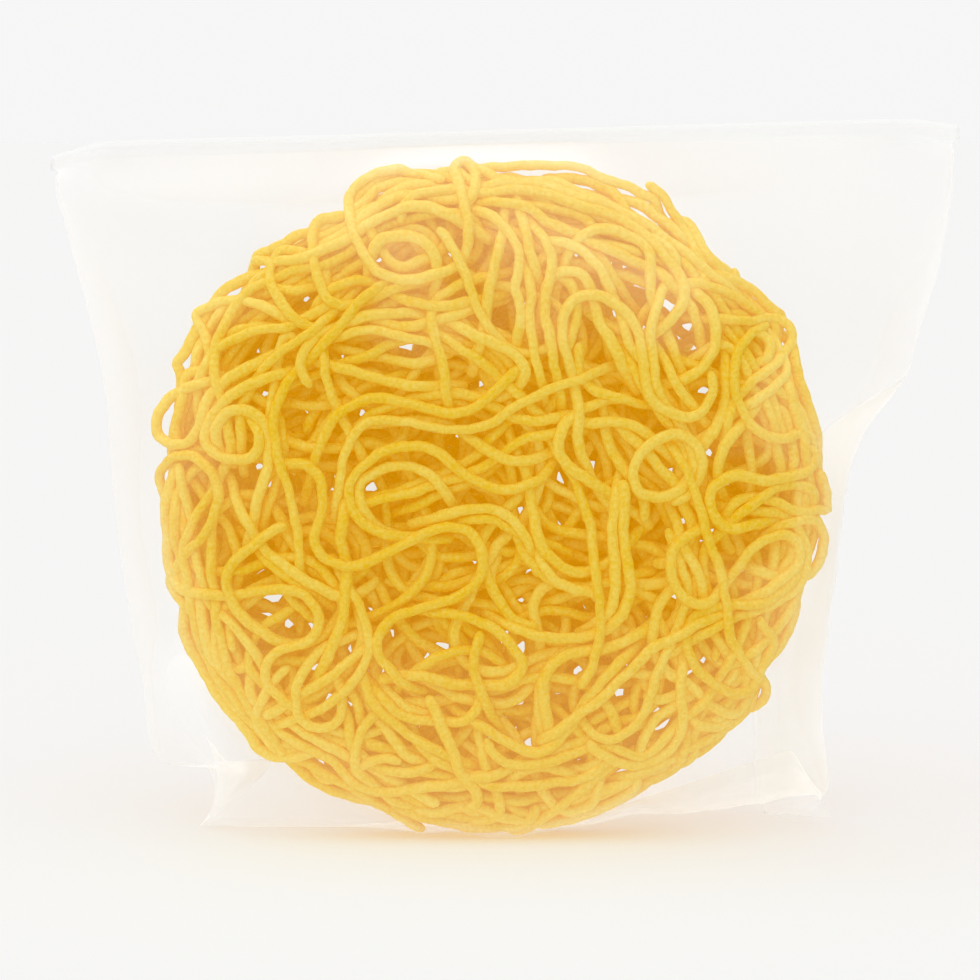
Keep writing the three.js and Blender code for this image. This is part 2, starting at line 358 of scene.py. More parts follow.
# Where light from behind shows through the whole cake: across, up, and how wide.
see_through = [
    (44.4, 37.6, 1.6), (46.8, 36.6, 1.2), (45.1, 33.3, 1.1), (48.4, 10, 1.2), (40, 8.9, 1.4),
    (40.3, 6.5, 1.0), (-26.4, 2.2, 1.4), (6.7, -2.9, 1.2), (-44.6, -28.2, 1.5), (-40.3, -28.8, 1.0),
    (-50, -22.8, 1.0), (-31, -34, 1.1), (14.9, -42.8, 1.5), (-10, -33.3, 0.9), (8.9, -16.7, 1.0),
    (29.6, -61.8, 1.4), (-28.4, 18.7, 1.1), (-48.5, -53.8, 1.2), (-50, 23, 1.0), (-50.7, 7.1, 0.9),
    (6.7, -23, 0.8), (8.6, -55.1, 1.1), (20, -59.5, 1.1), (-72, 15.3, 0.9), (21.5, 68.6, 1.4),
    (7.5, 71.3, 1.2), (10.5, 71.6, 1.1), (38, -51.8, 1.2), (56.7, -16, 0.9), (47.8, -36.8, 1.1),
    (-37.8, -59.7, 1.4), (-23, -64.4, 1.4), (39, 58.3, 1.1), (-40.5, 44.2, 0.9), (-24.5, 52.8, 0.8),
    (71, -8.4, 1.2), (-2, 25, 1.0),
]
# The ends that lie loose on the cake's front. Every other end dives in between the strands below.
loose_ends = [
    (-14, -44.5), (29, 3.5), (3.6, -75.8), (-14.8, -76), (-10.6, -76), (-53, 53.6), (-11, -72), (-25, -42),
    (19.3, 34.2), (-43.8, 33.2), (-2, -30), (34.5, 69), (54.6, 50.2), (37.5, -56.3), (-64.6, -40.2),
    (-7, -71),
]


def even_path(places, step):
    """A smooth line through the places, in points that lie a step apart."""
    p = np.array(places, float)
    p = np.vstack([2 * p[0] - p[1], p, 2 * p[-1] - p[-2]])
    t = np.linspace(0, 1, 16, endpoint=False)[:, None]
    fine = [
        0.5 * (2 * b + (c - a) * t + (2 * a - 5 * b + 4 * c - d) * t**2 + (3 * b - a - 3 * c + d) * t**3)
        for a, b, c, d in zip(p, p[1:], p[2:], p[3:])
    ]
    fine = np.vstack([*fine, p[-2:-1]])
    along = np.concatenate([[0], np.cumsum(np.linalg.norm(np.diff(fine, axis=0), axis=1))])
    wanted = np.linspace(0, along[-1], max(4, round(along[-1] / step) + 1))
    return np.stack([np.interp(wanted, along, axis) for axis in fine.T], axis=1)


def half_depth(out):
    """How far the cake's face lies from its middle, at a distance out from its axis."""
    return cake_depth / 2 * (1 - cake_crown * np.clip(out / cake_radius, 0, 1) ** 3)


def half_turn(angle):
    """The same angle, between half a turn one way and half a turn the other."""
    return (angle + np.pi) % (2 * np.pi) - np.pi


def wandering_paths(count, length):
    """Strands that wander flat through the cake in waves and loops, and turn along its rim where
    they meet it, as points told by (strand, along it, (across, depth, up))."""
    bend_lasts = 13.0
    bend_spread = 0.082
    tightest_bend = 0.19
    rim_width = 12.0  # how far inside the rim a strand starts to turn away from it
    lobe_height = 1.8
    steps = int(length / path_step)
    angle, out = rng.uniform(0, 2 * np.pi, count), cake_radius * np.sqrt(rng.uniform(0, 0.95, count))
    place = np.stack([out * np.cos(angle), out * np.sin(angle)], axis=1)
    heading = rng.uniform(0, 2 * np.pi, count)
    bend = rng.normal(0, 0.07, count)
    depth = rng.uniform(-0.5, 0.5, count) * cake_depth
    climb = np.zeros(count)
    own_rim = cake_radius - rng.uniform(0, 9, count)
    lobes, turned = rng.uniform(4, 9, count), rng.uniform(0, 2 * np.pi, count)
    kept = math.exp(-path_step / bend_lasts)
    points = np.zeros((count, steps, 3))
    for step in range(steps):
        points[:, step] = np.stack([place[:, 0], depth, place[:, 1]], axis=1)
        out = np.linalg.norm(place, axis=1)
        inward = np.arctan2(-place[:, 1], -place[:, 0])
        off = half_turn(inward - heading)
        rim = own_rim + lobe_height * np.sin(lobes * inward + turned)
        near_rim = np.clip((out - rim + rim_width) / rim_width, 0, 1) ** 2
        facing_out = np.clip(np.abs(off) - np.pi / 2 + 0.15, 0, 1)
        bend = bend * kept + rng.normal(0, bend_spread, count) * math.sqrt(1 - kept**2)
        bent = bend * (1 - 0.5 * near_rim) + 0.42 * near_rim * facing_out * np.sign(off)
        heading = heading + np.clip(bent, -tightest_bend, tightest_bend) * path_step
        place = place + path_step * np.stack([np.cos(heading), np.sin(heading)], axis=1)
        climb = climb * 0.93 + rng.normal(0, 0.05, count)
        depth = depth + climb * path_step * 0.5 - 0.01 * depth
    return points


def seen_at(across, up, depth):
    """The place at a depth in the cake that lies behind (across, up) on its face for the lens."""
    shrink = 1 + depth / (lens_distance / MM)
    aim = (look_at.z - cake_middle.z) / MM
    below_aim = 1.56
    return across * shrink, (up - below_aim) * shrink + aim - math.tan(view_elevation) * depth


def dive(flat):
    """The strand's line carried on past its last point, to go deeper between other strands."""
    heading = math.atan2(*(flat[-1] - flat[-2])[::-1])
    earlier = math.atan2(*(flat[-3] - flat[-4])[::-1])
    bend = np.clip(half_turn(heading - earlier), -0.35, 0.35) / 2
    place, tail = flat[-1], []
    for _ in range(tail_points):
        off = half_turn(math.atan2(-place[1], -place[0]) - heading)
        near_rim = np.clip((np.linalg.norm(place) - cake_radius + 8) / 8, 0, 1)
        heading += bend + 0.45 * near_rim * np.sign(off) * (abs(off) > 1.4)
        place = place + path_step * 0.85 * np.array([math.cos(heading), math.sin(heading)])
        place = place * min(1.0, (cake_radius - 0.8) / np.linalg.norm(place))
        tail.append(place)
    return np.array(tail)


def laid_on_front(flat, loose_start, loose_end, behind):
    """A strand's points and the depth it wants to lie at, some way behind the cake's front."""
    start_tail = flat[:0] if loose_start else dive(flat[::-1])[::-1]
    end_tail = flat[:0] if loose_end else dive(flat)
    whole = np.vstack([start_tail, flat, end_tail])
    number = np.arange(len(whole))
    into_tail = np.maximum(len(start_tail) - number, number - (len(whole) - 1 - len(end_tail)))
    deeper = tail_depth * (np.clip(into_tail + 1.5, 0, None) / (tail_points + 1.5)) ** 1.3
    home = strand_radius - half_depth(np.hypot(*whole.T)) + deeper + behind
    return np.stack([whole[:, 0], home, whole[:, 1]], axis=1), home


hand_laid, beside, home_depth, beside_depth = [], [], [], []
for rank, row in enumerate(front_strands):
    flat = even_path(np.reshape(row, (-1, 2)), path_step)
    out = np.hypot(*flat.T)
    flat *= (1 - 1.1 * np.clip((out - 66) / 8, 0, 1) / out)[:, None]
    flat = np.stack(seen_at(*flat.T, strand_radius - half_depth(np.hypot(*flat.T))), axis=1)
    path, home = laid_on_front(flat, tuple(row[:2]) in loose_ends, tuple(row[-2:]) in loose_ends, 0.0)
    behind_others = one_behind * min(rank, 90)
    path[:, 1] += behind_others
    hand_laid.append(path)
    home_depth.append(home)
    # Neighbours that run alongside it for a part of its way, a little deeper.
    for side in (-1, 1):
        many = int(rng.uniform(0.35, 1.0) * len(flat))
        if many < shortest_neighbour or rng.uniform() < 0.5:
            continue
        start = int(rng.uniform(0, 1) * (len(flat) - many))
        piece = flat[start : start + many]
        travel = np.gradient(piece, axis=0)
        travel /= np.linalg.norm(travel, axis=1)[:, None]
        apart = 2.3 * strand_radius + 2.0 * np.sin(np.arange(many) / 9 + rng.uniform(0, 6))
        apart = apart + rng.uniform(0, 2.5)
        piece = piece + side * apart[:, None] * np.stack([-travel[:, 1], travel[:, 0]], axis=1)
        piece *= np.minimum(1, (cake_radius - 2) / np.hypot(*piece.T))[:, None]
        path, home = laid_on_front(even_path(piece[::3], path_step), False, False, rng.uniform(1.0, 3.0))
        path[:, 1] += behind_others + 1.0
        beside.append(path)
        beside_depth.append(home)
home_depth = np.concatenate(home_depth + beside_depth)

# Each inner strand is taken, out of twelve, as the one that runs where the cake is still thinnest.
cell = 3.0
margin = 4.0
see_through_weight = 12  # how many strands a see-through place counts for, so that few run there
pool_size = 260
longest = 640.0
cells = int(2 * (cake_radius + margin) / cell) + 1
laid = np.zeros((cells, cells))


def cells_of(path):
    """The (across, up) cells of the cake that a strand runs through."""
    return tuple(np.clip(((path[:, (0, 2)] + cake_radius + margin) / cell).astype(int), 0, cells - 1).T)


for path in hand_laid + beside:
    np.add.at(laid, cells_of(path), 1)
for across, up, wide in see_through:
    np.add.at(laid, cells_of(np.array([(across, 0, up + dz) for dz in (-1, 0, 1)])), see_through_weight)
wandering = wandering_paths(pool_size, longest)
share = rng.uniform(0.3, 1.0, pool_size)
pool = [w[: int(len(w) * s)] for w, s in zip(wandering, share)]
inner, inner_points = [], 0
while inner_points * path_step < inner_length:
    tried = rng.choice(len(pool), 12, replace=False)
    path = pool.pop(min(tried, key=lambda n: (laid[cells_of(pool[n])] ** 2).mean()))
    np.add.at(laid, cells_of(path), 1)
    inner.append(path)
    inner_points += len(path)

paths = hand_laid + beside + inner
owner = np.concatenate([np.full(len(p), i) for i, p in enumerate(paths)])
points = np.concatenate(paths)
by_hand = owner < len(hand_laid)
guided = owner < len(hand_laid) + len(beside)

# The strands are pressed into the cake: wherever two of them share the same space they slide
# apart, mostly front to back, and each strand bends softly over the ones it crosses.


def rim_at(bearing):
    """The radius of the cake's uneven rim at each bearing."""
    wavy = 0.9 * np.sin(5 * bearing + 0.4) + 0.7 * np.sin(9 * bearing + 2.0) + 0.5 * np.sin(14 * bearing)
    low, high = np.clip(-np.sin(bearing), 0, 1), np.clip(np.sin(bearing), 0, 1)
    return cake_radius - 1.1 + wavy + 1.7 * low**10 - 1.2 * high**4


def touching_pairs(points, near):
    """Index pairs of the points that lie this near to each other."""
    cell = np.floor(points / near).astype(np.int64)
    cell -= cell.min(axis=0) - 1
    span = cell.max(axis=0) + 2
    key = (cell[:, 0] * span[1] + cell[:, 1]) * span[2] + cell[:, 2]
    order = np.argsort(key, kind="stable")
    ranked = key[order]
    firsts, seconds = [], []
    for dx, dy, dz in [(a, b, c) for a in (-1, 0, 1) for b in (-1, 0, 1) for c in (-1, 0, 1)]:
        shift = (dx * span[1] + dy) * span[2] + dz
        if shift < 0:
            continue
        low = np.searchsorted(ranked, ranked + shift, "left")
        many = np.searchsorted(ranked, ranked + shift, "right") - low
        first = np.repeat(np.arange(len(key)), many)
        within = np.arange(many.sum()) - np.repeat(np.cumsum(many) - many, many)
        second = low[first] + within
        keep = second > first if shift == 0 else np.ones(len(first), bool)
        firsts.append(order[first[keep]])
        seconds.append(order[second[keep]])
    first, second = np.concatenate(firsts), np.concatenate(seconds)
    close = np.sum((points[first] - points[second]) ** 2, axis=1) < near**2
    return first[close], second[close]


thickness = 2 * strand_radius
own_reach = 5  # how many points to each side a strand doesn't feel of itself
# How easily the listed strands and the others give way across, front to back, and up.
slide = np.where(by_hand[:, None], (0.08, 1.0, 0.08), (0.5, 1.0, 0.5))
give = 0.42  # the share of an overlap that one round takes away
least_depthwise = 0.6  # and the least of it that goes front to back
home_pull = np.where(by_hand[guided], 0.02, 0.006)  # back to the depth a strand was laid at
face_pull = 0.004  # to the nearer face, for the inner strands in the cake's middle
middle_reach, middle_fade = 42, 20
under_face = 3.0
rounds = 220
last_rounds = 25  # in which the strands are no longer smoothed so much

index = np.arange(len(points))
before = np.where(np.r_[False, owner[1:] == owner[:-1]], index - 1, index)
after = np.where(np.r_[owner[1:] == owner[:-1], False], index + 1, index)
face_side = np.where(points[~guided, 1] < 0, -1, 1)
inner_out = np.hypot(points[~guided, 0], points[~guided, 2])
middle_share = 1 - np.clip((inner_out - middle_reach) / middle_fade, 0, 1)
face_depth = half_depth(inner_out) - under_face
moved = np.zeros_like(points)
for turn in range(rounds):
    now = points + moved
    if turn % 3 == 0:
        first, second = touching_pairs(now, thickness * 1.15)
        apart_on_strand = (owner[first] != owner[second]) | (np.abs(first - second) > own_reach)
        first, second = first[apart_on_strand], second[apart_on_strand]
    gap = now[first] - now[second]
    distance = np.linalg.norm(gap, axis=1) + 1e-6
    push = gap / distance[:, None]
    laid_later = np.sign(owner[first] - owner[second] + 0.5)
    side = np.where(np.abs(push[:, 1]) < 0.1, laid_later, np.sign(push[:, 1]))
    push[:, 1] = side * np.maximum(np.abs(push[:, 1]), least_depthwise)
    push *= (give * np.clip(thickness - distance, 0, None))[:, None]
    shove = [
        np.bincount(first, way, len(points)) - np.bincount(second, way, len(points)) for way in push.T
    ]
    moved += np.stack(shove, axis=1) * slide
    now = points + moved
    moved[guided, 1] -= home_pull * (now[guided, 1] - home_depth)
    moved[~guided, 1] += face_pull * middle_share * (face_side * face_depth - now[~guided, 1])
    if turn % 3 == 0:
        for across, up, wide in see_through:
            middle_x, middle_z = seen_at(across, up, now[:, 1])
            off_x, off_z = now[:, 0] - middle_x, now[:, 2] - middle_z
            off = np.hypot(off_x, off_z) + 1e-6
            part = np.clip(wide + strand_radius - off, 0, None) / off * slide[:, 0]
            moved[:, 0] += part * off_x
            moved[:, 2] += part * off_z
    out = np.hypot(now[:, 0], now[:, 2])
    edge = np.clip(out / cake_radius, 0, 1)
    round_off = cake_depth / 2 * (1 - cake_crown * edge**3 - 0.3 * edge**12) - strand_radius
    moved[:, 1] += np.clip(now[:, 1], -round_off, round_off) - now[:, 1]
    rim = rim_at(np.arctan2(now[:, 2], now[:, 0])) - strand_radius
    squeeze = np.clip(rim - out, None, 0) / np.maximum(out, 1)
    for way in (0, 2):
        moved[~by_hand, way] += (squeeze * now[:, way])[~by_hand]
    for _ in range(3 if turn < rounds - last_rounds else 1):
        moved = 0.5 * moved + 0.25 * (moved[before] + moved[after])
points = points + moved


def strand_mesh(name, chosen, sides, step):
    """One mesh of all the chosen strands, swept along their paths as tubes with blunt ends."""
    sways = ((11.0, 0.12), (5.2, 0.07), (2.9, 0.035))  # the length and height of its small waves
    swelling = 1.06  # frying swells the strands until they press on one another
    blunt_length = 0.9
    blunt_radius = 0.55
    tip_length = 0.25
    corner = np.arange(sides)
    next_corner = (corner + 1) % sides
    ring_angle = corner * 2 * np.pi / sides
    verts, faces, tone = [], [], []
    base = 0
    for number in chosen:
        line = even_path(points[owner == number][::2], step)
        count = len(line)
        s = np.arange(count) * step
        own = np.random.default_rng(1000 + number)
        for wave, sway in sways:
            turn = own.uniform(0, 2 * np.pi, 3)
            line = line + sway * np.sin(s[:, None] * 2 * np.pi / wave + turn) * (1, 0.5, 1)
        travel = np.gradient(line, axis=0)
        travel /= np.linalg.norm(travel, axis=1)[:, None]
        # A frame that turns no more than the path does.
        side = np.cross(travel[0], (0.3, 1.0, 0.2))
        across = np.empty_like(travel)
        for i, t in enumerate(travel):
            side = side - t * np.dot(side, t)
            side = side / np.linalg.norm(side)
            across[i] = side
        up = np.cross(travel, across)
        waves = own.uniform(0, 2 * np.pi, 6)
        uneven = swelling + own.uniform(-0.05, 0.07)
        uneven = uneven + 0.04 * np.sin(s / 5.3 + waves[0]) + 0.04 * np.sin(s / 2.3 + waves[1])
        uneven = uneven + own.normal(0, 0.02, count)
        flatness = 0.07 * np.sin(s / 21 + waves[2])
        blunt = np.clip(np.minimum(s, s[-1] - s) / blunt_length, 0, 1)
        taper = np.sqrt(1 - (1 - blunt) ** 2) * (1 - blunt_radius) + blunt_radius
        radius = strand_radius * uneven * taper
        wide = np.cos(ring_angle)[None, :] * (1 + flatness)[:, None]
        tall = np.sin(ring_angle)[None, :] * (1 - flatness)[:, None]
        ring = wide[..., None] * across[:, None] + tall[..., None] * up[:, None]
        ring = line[:, None] + radius[:, None, None] * ring
        tips = [line[0] - travel[0] * tip_length, line[-1] + travel[-1] * tip_length]
        verts += [ring.reshape(-1, 3), tips]
        ring_start = base + np.arange(count - 1)[:, None] * sides
        a, b = ring_start + corner, ring_start + next_corner
        faces += np.stack([a, b, b + sides, a + sides], axis=-1).reshape(-1, 4).tolist()
        last = base + (count - 1) * sides
        start_tip, end_tip = last + sides, last + sides + 1
        faces += [(start_tip, base + b, base + a) for a, b in zip(corner, next_corner)]
        faces += [(end_tip, last + a, last + b) for a, b in zip(corner, next_corner)]
        tone.append(np.full(count * sides + 2, own.uniform(0, 1)))
        base += count * sides + 2
    mesh = bpy.data.meshes.new(name)
    place = (np.concatenate(verts) * MM + np.array(cake_middle)).astype(np.float32)
    mesh.from_pydata(place.tolist(), [], faces)
    mesh.polygons.foreach_set("use_smooth", np.ones(len(mesh.polygons), bool))
    layer = mesh.attributes.new("strand_tone", "FLOAT", "POINT")
    layer.data.foreach_set("value", np.concatenate(tone).astype(np.float32))
    mesh.update()
    return put_in_scene(name, mesh)


def fried_noodle_skin():
    """Egg dough fried pale gold: a soft, slightly oily skin, mottled and flecked, with fine grain.
    It gives off a painted warm glow, in place of light that soaks through and between the strands.
    """
    deep_gold = (0.815, 0.485, 0.0, 1.0)
    pale_gold = (0.89, 0.68, 0.15, 1.0)
    painted_glow = (1.25, 1.0, 0.0, 1.0)  # painted glow: warm light given off by the dough, in place of light soaking through the strands
    skin, dough = new_material("fried_egg_noodle")
    where = add_node(dough, "TexCoord", {}).outputs["Object"]
    mottle, flecks, grain = (
        add_node(dough, "TexNoise", {"Vector": where, "Scale": scale, "Detail": detail}).outputs["Fac"]
        for scale, detail in ((90.0, 3.0), (1300.0, 3.0), (1200.0, 4.0))
    )
    tone = add_node(dough, "Attribute", {}, attribute_name="strand_tone").outputs["Fac"]
    patches = add_math(dough, "MULTIPLY_ADD", flecks, 2.0, mottle)
    browning = add_math(dough, "MULTIPLY_ADD", tone, 0.4, patches)
    gold = add_node(dough, "ValToRGB", {"Fac": add_range(dough, browning, 1.15, 2.25, ease="LINEAR")})
    gold.color_ramp.elements[0].color = deep_gold
    gold.color_ramp.elements[1].color = pale_gold
    rough = add_node(dough, "Bump", {"Strength": 0.6, "Distance": 0.0003, "Height": grain})
    # The skin's emission below is a painted glow that lifts the shade between the strands.
    set_inputs(dough, dough.nodes["Principled BSDF"], {
        "Base Color": gold.outputs["Color"],
        "Normal": rough.outputs["Normal"],
        "Roughness": 0.5,
        "Specular IOR Level": 0.2,
        "Emission Color": painted_glow,
        "Emission Strength": 0.11,
    })
    return skin


noodle_skin = fried_noodle_skin()
guided_strands = len(hand_laid) + len(beside)
groups = {
    "front_strands": list(range(len(hand_laid))),
    "beside_strands": list(range(len(hand_laid), guided_strands)),
}
depths = [points[owner == number, 1].mean() for number in range(guided_strands, len(paths))]
by_depth = guided_strands + np.argsort(depths)
layers = ("fore_strands", "inner_strands", "middle_strands", "rear_strands")
for label, part in zip(layers, np.array_split(by_depth, len(layers))):
    groups[label] = part.tolist()
for label, chosen in groups.items():
    # The strands in plain sight have more sides, and shorter steps along them, than the others.
    sides, step = (8, 1.25) if label in layers else (10, 0.9)
    piece = strand_mesh(label, chosen, sides, step)
    piece.data.materials.append(noodle_skin)
    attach(piece, "root")
    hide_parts("sealed_noodle_bag")

# ------------------------------------------------------------------------------
# The bag: one sheet of clear film made into a tube, welded flat along the top and the foot, and
# drawn snug over the cake. Its lower corners are folded back, as they are when a pack is stood up.
# It is first laid flat and then let settle over the cake until no part of it is stretched.
# ------------------------------------------------------------------------------
flat_half_width = 101.0
flat_height = 179.0
weld_width = 3.5
foot_weld_width = 3.2
fold_at = 88.0  # how far out the top weld starts to bend into an ear
film_gap = 0.35  # the least room between the front and the rear of the bag
table_gap = 0.2  # the foot weld's cut edge stands this far off the table
top_height, top_slope = 157.4, 0.028
clearance = 0.4  # between the strands and the film
farthest_rim = 78.0
oiled_reach, oiled_fade = 0.071, 0.006  # how far out the oil comes, and how softly it ends
bag_x, bag_z = cake_middle.x / MM, cake_middle.z / MM

# (across the flat bag, then across, back and up where the foot weld lies)
foot_weld = np.array([
    (-101, -50, 26, 14), (-86, -62, 19, 4.5), (-72, -69, 6, 1.0), (-40, -38.5, 7, 0.8), (0, 0.5, 8, 3.0),
    (28, 27.5, 9, 5.5), (60, 58, 11, 15.6), (67, 64.5, 13, 18), (84, 74.5, 18, 1), (101, 58, 26.5, 0.6),
])
# (up the flat bag, then across and back where its side folds lie)
left_fold = np.array([
    (0, -50, 26), (6, -64, 25), (12, -72, 22), (20, -79, 18.5), (26, -81, 16.5), (37, -81.5, 15),
    (50, -83.5, 13), (72, -86.3, 11), (88, -88, 9), (113, -89, 4), (122, -90, 3), (138, -93.5, 2),
    (152, -96.8, 2), (161, -98.8, 2), (166, -100.4, 3), (175, -101, 6),
])
right_fold = np.array([
    (0, 56, 27), (11, 57, 25), (25, 56, 24), (43, 57, 23.5), (55, 61, 23.5), (68, 64.5, 23.5),
    (84, 65.5, 23), (95, 69, 21), (104, 76, 17), (114, 83.5, 9), (123, 89.5, 4), (130, 91.5, 3),
    (145, 96.5, 2), (166, 100.5, 4),
])
# (up, then how far the film reaches to the left and to the right there)
reach = np.array([
    (0, -70.5, 75.5), (4, -72.3, 75), (11, -76.3, 74), (19.5, -80.8, 72.5), (31, -81.2, 72),
    (38, -82.5, 71.5), (43, -83.5, 73), (54, -86.5, 76), (62, -88, 77.7), (71, -88, 78.2), (83, -88.3, 79),
    (89, -88.5, 84.3), (101, -90, 89.3), (117, -94, 95.5), (130, -96.5, 98.5), (145, -101, 101.5),
    (160, -101, 101.5),
])

# The cake's outline as the film feels it: the farthest strand at each bearing.
rim_bearings = np.linspace(-np.pi, np.pi, 61)
bearing = np.arctan2(points[:, 2], points[:, 0])
far = np.hypot(points[:, 0], points[:, 2]) + strand_radius + clearance
rim_reach = [far[np.abs(half_turn(bearing - b)) < 0.09].max() for b in rim_bearings]
rim_reach = np.minimum(rim_reach, farthest_rim)


def across_flat(columns):
    """How far each column of the tube lies from the flat bag's middle: along its front, then back."""
    quarter = np.arange(columns) / columns * 4
    return flat_half_width * np.where(quarter <= 2, quarter - 1, 3 - quarter)


def top_weld(across):
    """Where the top weld lies: straight, a little higher at the right, with its ears bent back."""
    ear = np.clip(np.abs(across) - fold_at, 0, None) / (flat_half_width - fold_at)
    back = 8.0 * ear + 1.2 * np.sin(across / 31 + 0.6) + 0.5 * np.sin(across / 11 + 2)
    up = top_height + top_slope * across - (2.7 - 0.7 * np.sign(across)) * ear**1.2
    return np.stack([across, back, up], axis=-1)


def along(key, value):
    """Reads a table of places at the values, one place for each."""
    return np.stack([np.interp(value, key[:, 0], column) for column in key.T[1:]], axis=-1)


def push_out(film, front):
    """Moves the film's points off the cake and the table. The cake is a round cushion shape."""
    corner = 8.0
    x, z = film[..., 0] - bag_x, film[..., 2] - bag_z
    out = np.hypot(x, z) + 1e-6
    rim = np.interp(np.arctan2(z, x), rim_bearings, rim_reach)
    thick = cake_depth / 2 * (1 - cake_crown * np.clip(out / rim, 0, 1) ** 3) + 0.5
    past_rim = out - (rim - corner)
    past_face = np.abs(film[..., 1]) - (thick - corner)
    a, b = np.clip(past_rim, 0, None), np.clip(past_face, 0, None)
    corner_way = np.hypot(a, b)
    depth = corner_way + np.minimum(np.maximum(past_rim, past_face), 0) - corner
    safe = np.maximum(corner_way, 1e-9)
    outward = np.where(corner_way > 1e-9, a / safe, past_rim > past_face)
    faceward = np.where(corner_way > 1e-9, b / safe, past_rim <= past_face)
    push = np.clip(-depth, 0, 3)
    film[..., 0] += push * outward * x / out
    film[..., 2] += push * outward * z / out
    film[..., 1] += push * faceward * np.where(np.abs(film[..., 1]) > 0.2, np.sign(film[..., 1]), front)
    film[..., 2] = np.maximum(film[..., 2], table_gap)
    left, right = along(reach, film[..., 2])[..., 0], along(reach, film[..., 2])[..., 1]
    film[..., 0] -= 0.4 * np.clip(film[..., 0] - right, 0, 4) + 0.4 * np.clip(film[..., 0] - left, -4, 0)


def settled(film, rounds, air, stiffness):
    """The film after it has given way, round by round, wherever it is stretched or in the way."""
    rows, columns = film.shape[:2]
    wide, tall = 4 * flat_half_width / columns, flat_height / (rows - 1)
    slant = math.hypot(wide, tall)
    across, up = across_flat(columns), np.arange(rows) * tall
    front = np.where(np.arange(columns) < columns // 2, -1, 1)
    mirror = (columns - np.arange(columns)) % columns
    ply = 0.12 * front[:, None] * (0, 1, 0)
    give, press_apart, fold_pull, foot_pull = 0.275, 0.35, 0.25, 0.3
    # rows and columns apart, length, and how hard it resists being pulled and pressed together
    threads = [
        (0, 1, wide, 1.0, 0.12), (1, 0, tall, 1.0, 0.12), (1, 1, slant, 0.5, 0.05),
        (1, -1, slant, 0.5, 0.05), (0, 2, 2 * wide, 0.3, 0.06), (2, 0, 2 * tall, 0.3, 0.06),
        (0, 4, 4 * wide, 0.2, 0.02), (4, 0, 4 * tall, 0.2, 0.02),
    ]
    top, foot = top_weld(across) + ply, along(foot_weld, across) + ply
    folds = ((0, along(left_fold, up)), (columns // 2, along(right_fold, up)))
    folded = (fold_pull * (up > 6) * (up < 172))[:, None]
    weld_rows = max(1, round(weld_width / tall))
    edge = np.abs(across) > flat_half_width - wide / 2
    for _ in range(rounds):
        moves = np.zeros_like(film)
        for down, over, length, pull, press in threads:
            low = film[: rows - down]
            span = np.roll(film, -over, axis=1)[down:] - low
            size = np.linalg.norm(span, axis=2) + 1e-9
            part = (size - length) / size
            span *= (np.where(part > 0, pull, press) * part * give)[..., None]
            moves[: rows - down] += span
            moves[down:] -= np.roll(span, over, axis=1)
        film = film + moves
        next_column, last_column = np.roll(film, -1, axis=1), np.roll(film, 1, axis=1)
        out = np.cross(next_column - last_column, np.gradient(film, axis=0))
        out /= np.linalg.norm(out, axis=2)[..., None] + 1e-9
        room = -((film[:, mirror] - film) * out).sum(axis=2)
        shove = np.where(edge, 0, np.clip(film_gap - room, 0, 0.5)) * press_apart
        film = film + out * (air + shove)[..., None]
        beside_it = np.roll(film, 1, axis=1)[1:-1] + np.roll(film, -1, axis=1)[1:-1]
        film[1:-1] += stiffness * (beside_it + film[2:] + film[:-2] - 4 * film[1:-1])
        push_out(film, front)
        for column, fold in folds:
            film[:, column, :2] += folded * (fold - film[:, column, :2])
        for row in range(weld_rows + 1):
            film[rows - 1 - row] = top - (0, 0, row * tall)
        film[:2] = 0.5 * (film[:2] + film[:2, mirror]) + ply
        film[0] += foot_pull * (foot - film[0])
    return film


def finer(film, rows, columns):
    """The same film with more rows and columns."""
    down = np.linspace(0, film.shape[0] - 1, rows)
    first = np.minimum(down.astype(int), film.shape[0] - 2)
    part = (down - first)[:, None, None]
    film = film[first] * (1 - part) + film[first + 1] * part
    over = np.arange(columns) * film.shape[1] / columns
    first = over.astype(int)
    part = (over - first)[None, :, None]
    return film[:, first] * (1 - part) + np.roll(film, -1, axis=1)[:, first] * part


def laid_flat(rows, columns):
    """The tube before it settles: flat at its top, on its foot weld below, and puffed between."""
    hang, foot_hang, foot_share, puff = 0.88, 0.9, 0.35, 20
    across, up = across_flat(columns), np.linspace(0, flat_height, rows)
    front = np.where(np.arange(columns) < columns // 2, -1, 1)
    hanging = np.zeros((rows, columns, 3))
    hanging[..., 0] = across
    hanging[..., 2] = up[:, None] * hang
    footed = along(foot_weld, across) + np.array([0, 0, foot_hang]) * up[:, None, None]
    rise = np.clip(up / flat_height / foot_share, 0, 1)[:, None, None]
    rise = rise * rise * (3 - 2 * rise)
    film = hanging * rise + footed * (1 - rise)
    puffed_across = np.sqrt(np.clip(1 - (across / flat_half_width) ** 2, 0, 1))
    puffed_up = np.sqrt(np.sin(np.pi * np.clip(up / flat_height, 0, 1)))[:, None]
    film[..., 1] += puff * front * puffed_across * puffed_up
    return film


film = laid_flat(36, 80)
hurry = 1.0
for rows, columns, rounds, air, stiffness in (
    (36, 80, 950, 0.002, 0.0),
    (72, 160, 350, 0.0006, 0.01),
    (118, 264, 260, 0.0002, 0.03),
    (118, 264, 12, 0.0, 0.12),
):
    film = settled(finer(film, rows, columns), round(rounds * hurry), air, stiffness)

